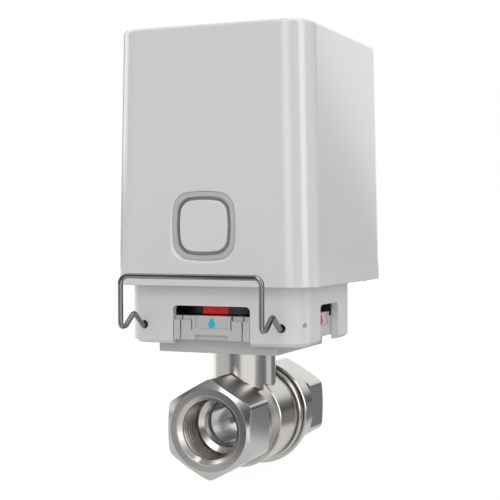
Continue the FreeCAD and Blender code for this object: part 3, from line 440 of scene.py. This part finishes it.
class ZoneValveStage(bpy.types.PropertyGroup):
    camera_place: FloatVectorProperty(
        name="Camera place", description="Where the camera stands", subtype="TRANSLATION", size=3,
        default=(0.15569, -0.36262, 0.06396))
    camera_heading: FloatProperty(
        name="Heading", description="Camera heading, anticlockwise from +Y", subtype="ANGLE",
        default=math.radians(22.891))
    camera_drop: FloatProperty(
        name="Drop", description="How far the camera looks down", subtype="ANGLE",
        default=math.radians(1.233))
    camera_roll: FloatProperty(
        name="Roll", description="Roll about the line of sight", subtype="ANGLE",
        default=math.radians(-0.171))
    lens: FloatProperty(name="Lens", description="Focal length in millimetres", default=85.99, min=1.0)
    floor_radius: FloatProperty(
        name="Floor radius", description="Radius of the floor disc", subtype="DISTANCE", unit="LENGTH",
        default=3.0, min=0.2)
    floor_gap: FloatProperty(
        name="Floor gap", description="Floor below the lowest point of the valve", subtype="DISTANCE",
        unit="LENGTH", default=0.0001)


# ---- stage -------------------------------------------------------------------------------------------
WHITE = (1.0, 1.0, 1.0, 1.0)

ROOM_LIGHT = 0.79          # even light from all round
ROOM_TOP = 0.10            # added overhead
ROOM_TOP_RISE = (10.0, 80.0)    # between these heights, in degrees
ROOM_GLOSS = 0.07          # what gloss sees between the soft boxes
ROOM_TOP_GLOSS = 0.35      # and overhead
CEILING_RISE = (18.0, 50.0)     # between these heights
REAR_BOX_TILT = 0.42       # lean of the rear soft box's side
REAR_BOX = (164.1, 235.0, 1.2, 1.0)    # heading from, to, softness, brightness
LEFT_BOX = (-112.0, -80.0, 8.0, 2.0)
LEFT_BOX_RISE = (1.0, 5.0)      # heights of its lower side
SIDE_LIGHT = (50.0, 150.0, 25.0, 0.24)
STRIPS = ((-6.0, 20.0, 9.0, 2.0), (60.0, 84.0, 6.0, 3.0))

KEY_PLACE = (0.25, -1.1, 1.1)
KEY_TARGET = (0.0, 0.0, 0.05)
KEY_SIZE = (0.9, 0.6)
KEY_ENERGY = 2.2

FLOOR_SIDES = 96
FLOOR_WHITE = 0.94         # brightness to the eye
FLOOR_LIGHT = 0.47         # as light on the object
FLOOR_NEAR = 0.75          # mirrored by polished metal, under the object
FLOOR_NEAR_REACH = (0.060, 0.090)    # where the part under the object gives way to the panels
FLOOR_SPECK = 60.0
FLOOR_PANELS = (  # heading from, to, softness in degrees, brightness mirrored by polished metal
    (-180.0, -88.0, 5.0, 1.5), (-88.0, -24.0, 5.0, 0.72), (-24.0, 15.0, 5.0, 0.13), (15.0, 66.0, 5.0, 1.2),
    (66.0, 111.0, 4.0, 0.13), (111.0, 138.0, 3.0, 0.85), (138.0, 181.0, 2.0, 0.15))

SENSOR_WIDTH = 36.0
NEAREST_SEEN = 0.01


class LightMap(Nodes):
    """Short calls for the nodes that say how bright the room is in each direction."""

    def __init__(self, tree):
        super().__init__(tree)
        direction = self.add("TexCoord")
        parts = self.add("SeparateXYZ")
        self.link(direction.outputs["Generated"], parts.inputs[0])
        x, y, z = parts.outputs
        self.heading = self.compass(x, y)
        behind = self.math("LESS_THAN", self.heading, 0.0)
        self.round_back = self.plus(self.heading, self.times(behind, 360.0))
        self.height = self.times(self.math("ARCSINE", z), 180.0 / math.pi)

    def step(self, value, start, end):
        node = self.add("MapRange")
        node.interpolation_type = "SMOOTHSTEP"
        self.link(value, node.inputs["Value"])
        node.inputs["From Min"].default_value = start
        node.inputs["From Max"].default_value = end
        return node.outputs[0]

    def band(self, value, start, end, soft, level):
        rise = self.step(value, start - soft, start + soft)
        fall = self.less(1.0, self.step(value, end - soft, end + soft))
        return self.times(self.times(rise, fall), level)

    def background(self, strength):
        node = self.add("Background")
        node.inputs["Color"].default_value = WHITE
        self.put(node.inputs["Strength"], strength)
        return node.outputs[0]

    def either(self, share, first, second):
        node = self.add("MixShader")
        for socket, source in zip(node.inputs, (share, first, second)):
            self.link(source, socket)
        return node.outputs[0]


def studio_world():
    """White behind the object, even light on it, and soft boxes that only gloss picks up."""
    world = bpy.data.worlds.new("Studio")
    bpy.context.scene.world = world
    world.use_nodes = True
    world.node_tree.nodes.clear()
    room = LightMap(world.node_tree)
    output = room.add("OutputWorld")
    rays = room.add("LightPath")
    tilted = room.plus(room.round_back, room.times(room.height, REAR_BOX_TILT))
    ceiling = room.times(room.step(room.height, *CEILING_RISE), ROOM_TOP_GLOSS)
    gloss = room.plus(room.plus(ROOM_GLOSS, ceiling), room.band(tilted, *REAR_BOX))
    for strip in STRIPS:
        gloss = room.plus(gloss, room.band(room.heading, *strip))
    raised = room.times(room.band(room.heading, *LEFT_BOX), room.step(room.height, *LEFT_BOX_RISE))
    gloss = room.plus(gloss, raised)
    even = room.plus(ROOM_LIGHT, room.times(room.step(room.height, *ROOM_TOP_RISE), ROOM_TOP))
    even = room.plus(even, room.band(room.heading, *SIDE_LIGHT))
    seen = room.either(rays.outputs["Is Glossy Ray"], room.background(even), room.background(gloss))
    seen = room.either(rays.outputs["Is Camera Ray"], seen, room.background(1.0))
    room.link(seen, output.inputs["Surface"])


def soft_light(name, place, target, size, energy):
    lamp = bpy.data.lights.new(name, "AREA")
    lamp.shape = "RECTANGLE"
    lamp.size, lamp.size_y = size
    lamp.energy = energy
    holder = bpy.data.objects.new(name, lamp)
    bpy.context.scene.collection.objects.link(holder)
    holder.location = place
    holder.rotation_euler = (Vector(target) - Vector(place)).to_track_quat("-Z", "Y").to_euler()


def floor_finish():
    """Pale floor: white to the eye, panelled light and dark where polished metal mirrors it."""
    finish = Finish("Pale floor")
    rays = finish.add("LightPath")
    speck = finish.noise(FLOOR_SPECK, 3.0)
    finish.colour(finish.blend(speck, (0.10, 0.10, 0.10, 1.0), (0.12, 0.12, 0.12, 1.0)))
    finish.roughness(finish.spread(speck, 0.8, 0.9, 0.0, 1.0))
    finish.set(Specular_IOR_Level=0.0)
    x, y, z = finish.parts()
    heading = finish.compass(x, y)
    panels = 0.0
    for start, end, soft, level in FLOOR_PANELS:
        rise = finish.spread(heading, 0.0, level, start - soft, start + soft)
        fall = finish.spread(heading, 1.0, 0.0, end - soft, end + soft)
        panels = finish.plus(finish.times(rise, fall), panels)
    away = finish.spread(finish.distance(x, y), 0.0, 1.0, *FLOOR_NEAR_REACH)
    mirrored = finish.plus(FLOOR_NEAR, finish.times(away, finish.less(panels, FLOOR_NEAR)))
    in_gloss = finish.times(rays.outputs["Is Glossy Ray"], finish.less(mirrored, FLOOR_LIGHT))
    to_camera = finish.times(rays.outputs["Is Camera Ray"], FLOOR_WHITE - FLOOR_LIGHT)
    seen = finish.plus(finish.plus(in_gloss, FLOOR_LIGHT), to_camera)
    finish.put(finish.shader.inputs["Emission Strength"], seen)
    finish.set(Emission_Color=WHITE)
    return finish.material


class ZONEVALVE_OT_stage(bpy.types.Operator):
    """Lay the pale floor, set up the soft lights and place the camera"""
    bl_idname = "zone_valve.stage"
    bl_label = "Stage"

    def execute(self, context):
        settings = context.scene.zone_valve_stage
        low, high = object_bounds()
        clear_selection()
        bpy.ops.mesh.primitive_circle_add(
            vertices=FLOOR_SIDES, radius=settings.floor_radius, fill_type="TRIFAN",
            location=(0.0, 0.0, low.z - settings.floor_gap))
        floor = context.object
        floor.name = floor.data.name = "floor"
        bpy.ops.object.transform_apply(location=True, rotation=True, scale=True)
        floor.data.materials.append(floor_finish())
        floor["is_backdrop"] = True
        studio_world()
        soft_light("key_light", KEY_PLACE, KEY_TARGET, KEY_SIZE, KEY_ENERGY)
        self.place_camera(context, settings)
        context.scene.view_settings.view_transform = "Standard"
        return {"FINISHED"}

    def place_camera(self, context, settings):
        lens = bpy.data.cameras.new("camera")
        lens.sensor_width = SENSOR_WIDTH
        lens.lens = settings.lens
        lens.clip_start = NEAREST_SEEN
        camera = bpy.data.objects.new("camera", lens)
        context.scene.collection.objects.link(camera)
        heading, drop = settings.camera_heading, settings.camera_drop
        ahead = Vector((-math.sin(heading) * math.cos(drop),
                        math.cos(heading) * math.cos(drop), -math.sin(drop)))
        right = Vector((math.cos(heading), math.sin(heading), 0.0))
        up = right.cross(ahead)
        turn = Matrix.Rotation(settings.camera_roll, 3, -ahead)
        camera.matrix_world = Matrix.Translation(settings.camera_place) @ (
            turn @ Matrix((right, up, -ahead)).transposed()).to_4x4()
        context.scene.camera = camera


# ---- finishes of the carried-over nodes --------------------------------------------------------------
def finish_table(colours):
    """Material of each slot in the record."""
    white = (0.86, 0.86, 0.84, 1.0)
    black = (0.012, 0.012, 0.013, 1.0)
    brass = (0.72, 0.54, 0.25, 1.0)
    steel = (0.52, 0.52, 0.53, 1.0)
    return {
        "valve_metal": turned_metal("Nickel plated brass", tuple(colours.valve), 0.19),
        "ball_chrome": drawn_metal("Polished ball", (0.76, 0.76, 0.77, 1.0), 0.12, depth=0.02),
        "stem_steel": turned_metal("Turned stem", steel, 0.3),
        "seat_white": moulded_plastic("Ball ring", white, 0.45),
        "seal_rubber": moulded_plastic("Seal rubber", black, 0.6, grain=0.6, grain_size=0.2),
        # The adapter's darker colour is painted shade under the base; it is the base's white-grey plastic.
        "adapter_plastic": moulded_plastic("Adapter plastic in painted shade", tuple(colours.adapter), 0.35, grain=0.2),
        "base_plastic": moulded_plastic("Base plastic", tuple(colours.base), 0.24, grain=0.1, edge=0.12),
        "cover_plastic": moulded_plastic("Cover plastic", tuple(colours.cover), 0.16, grain=0.05, edge=0.45,
                                         coat=0.5),
        "button_plastic": moulded_plastic("Button plastic", tuple(colours.cover), 0.2, grain=0.05, edge=0.3),
        "ring_diffuser": moulded_plastic("Frosted diffuser", tuple(colours.ring), 0.4, grain=0.5,
                                         grain_size=0.12),
        "clip_wire": drawn_metal("Spring wire", tuple(colours.wire), 0.13, depth=0.15, edge=0.05),
        "indicator_black": moulded_plastic("Black indicator", black, 0.35),
        "indicator_red": moulded_plastic("Red indicator", tuple(colours.flag), 0.3),
        "mark_blue": moulded_plastic("Blue print", tuple(colours.open_mark), 0.5, grain=0.5, edge=0.05),
        "mark_red": moulded_plastic("Red print", tuple(colours.closed_mark), 0.5, grain=0.5, edge=0.05),
        "gear_plastic": moulded_plastic("Gear acetal", (0.82, 0.79, 0.68, 1.0), 0.4, edge=0.15),
        "gearbox_plastic": moulded_plastic("Gearbox plastic", (0.05, 0.05, 0.055, 1.0), 0.5, grain=0.5),
        "screw_steel": drawn_metal("Zinc plated screw", steel, 0.32),
        "motor_can": drawn_metal("Drawn motor can", (0.56, 0.56, 0.57, 1.0), 0.3, depth=0.2),
        "brass": drawn_metal("Turned brass", brass, 0.28, depth=0.2),
        "board_green": board_finish("Solder resist", (0.012, 0.10, 0.045, 1.0)),
        "chip_black": moulded_plastic("Chip black", black, 0.55, grain=0.5),
        "connector_white": moulded_plastic("Connector plastic", (0.78, 0.76, 0.70, 1.0), 0.5),
        "led_lens": moulded_plastic("Light lens", (0.80, 0.80, 0.58, 1.0), 0.18),
        "cell_sleeve": sleeve_finish("Cell sleeve", (0.05, 0.09, 0.20, 1.0)),
        "holder_plastic": moulded_plastic("Holder plastic", (0.025, 0.025, 0.028, 1.0), 0.5, grain=0.5),
    }


FINISHES = {}


class ZONEVALVE_OT_finishes(bpy.types.Operator):
    """Give every carried-over node the finish of its slot"""
    bl_idname = "zone_valve.finishes"
    bl_label = "Finishes"

    def execute(self, context):
        FINISHES.update(finish_table(context.scene.zone_valve_colours))
        slots = {part["node"]: part["material_slot"] for part in frame["record"]["subparts"]}
        for name, node in frame["nodes"].items():
            if slots.get(name) not in FINISHES:
                raise RuntimeError("no finish for node %s" % name)
            node.data.materials.clear()
            node.data.materials.append(FINISHES[slots[name]])
        return {"FINISHED"}


# ---- added pieces ------------------------------------------------------------------------------------
class ZoneValveThread(bpy.types.PropertyGroup):
    pitch: FloatProperty(name="Pitch", description="Pitch of the pipe thread", subtype="DISTANCE",
                         unit="LENGTH", default=0.001814, min=0.0005)
    height: FloatProperty(name="Height", description="Height of a thread", subtype="DISTANCE",
                          unit="LENGTH", default=0.0008, min=0.0001)
    wall: FloatProperty(name="Wall radius", description="Radius of the wall the thread stands on",
                        subtype="DISTANCE", unit="LENGTH", default=0.0093155, min=0.001)
    start: FloatProperty(name="Start", description="First turn behind the end face", subtype="DISTANCE",
                         unit="LENGTH", default=0.0022)
    turns: IntProperty(name="Turns", description="Number of turns", default=5, min=1, max=12)


FOOT_SHARE = 0.46      # half of the ridge's foot, in pitches
CREST_SHARE = 0.14     # width of its crest, in feet
SUNK_SHARE = 0.42      # how far its foot is drawn in towards the crest, in heights
THREAD_STEPS = 64
THREAD_SMOOTH = 30


def thread(name, settings, face_y, inward):
    """A ridge inside a port, from its end face inwards: right-handed if that is +Y, else left-handed."""
    half = settings.pitch * FOOT_SHARE
    clear_selection()
    bpy.ops.mesh.primitive_plane_add(
        size=1.0, location=(settings.wall, face_y + inward * settings.start, 0.0))
    ridge = bpy.context.object
    ridge.name = ridge.data.name = name
    ridge.scale = (settings.height, half * 2, 1.0)
    bpy.ops.object.transform_apply(location=True, rotation=True, scale=True)
    bpy.ops.object.mode_set(mode="EDIT")
    pick_edges(ridge, lambda a, b: max(a.x, b.x) < settings.wall)
    bpy.ops.transform.resize(value=(1.0, CREST_SHARE, 1.0))
    pick_edges(ridge, lambda a, b: min(a.x, b.x) > settings.wall)
    bpy.ops.transform.translate(value=(-settings.height * SUNK_SHARE, 0.0, 0.0))
    bpy.ops.object.mode_set(mode="OBJECT")
    apply_modifier(ridge, "SCREW", axis="Y", angle=2 * math.pi, screw_offset=inward * settings.pitch,
                   iterations=settings.turns, steps=THREAD_STEPS, render_steps=THREAD_STEPS,
                   use_merge_vertices=False, use_smooth_shade=False)
    only(ridge)
    bpy.ops.object.mode_set(mode="EDIT")
    close()
    smooth(ridge, THREAD_SMOOTH)
    return ridge


class ZONEVALVE_OT_threads(bpy.types.Operator):
    """Pipe threads inside both ports"""
    bl_idname = "zone_valve.threads"
    bl_label = "Port threads"

    def execute(self, context):
        settings = context.scene.zone_valve_thread
        front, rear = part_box("end_piece"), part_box("valve_body")
        faces = (min(front[0].y, rear[0].y), 1), (max(front[1].y, rear[1].y), -1)
        for name, (face_y, inward) in zip(("front_thread", "rear_thread"), faces):
            ridge = thread(name, settings, face_y, inward)
            finish_piece(ridge, "valve", FINISHES["valve_metal"])
        return {"FINISHED"}


# ---- panel and registration --------------------------------------------------------------------------
OPERATORS = (ZONEVALVE_OT_finishes, ZONEVALVE_OT_threads, ZONEVALVE_OT_stage)


class ZONEVALVE_PT_panel(bpy.types.Panel):
    """Sizes, colours and steps of the zone valve"""
    bl_idname = "ZONEVALVE_PT_panel"
    bl_label = "Zone Valve"
    bl_space_type = "VIEW_3D"
    bl_region_type = "UI"
    bl_category = "Zone Valve"

    def draw(self, context):
        for group in GROUPS:
            settings = getattr(context.scene, group)
            column = self.layout.column(align=True)
            for name in settings.__annotations__:
                column.prop(settings, name)
        for operator in OPERATORS:
            self.layout.operator(operator.bl_idname)


GROUPS = {"zone_valve_colours": ZoneValveColours, "zone_valve_thread": ZoneValveThread,
          "zone_valve_stage": ZoneValveStage}
CLASSES = tuple(GROUPS.values()) + OPERATORS + (ZONEVALVE_PT_panel,)


def register():
    for item in CLASSES:
        bpy.utils.register_class(item)
    for name, group in GROUPS.items():
        setattr(bpy.types.Scene, name, PointerProperty(type=group))


def unregister():
    for name in GROUPS:
        delattr(bpy.types.Scene, name)
    for item in reversed(CLASSES):
        bpy.utils.unregister_class(item)


def main():
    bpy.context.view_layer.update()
    register()
    for operator in OPERATORS:
        group, name = operator.bl_idname.split(".")
        getattr(getattr(bpy.ops, group), name)()


if __name__ == "__main__":
    main()
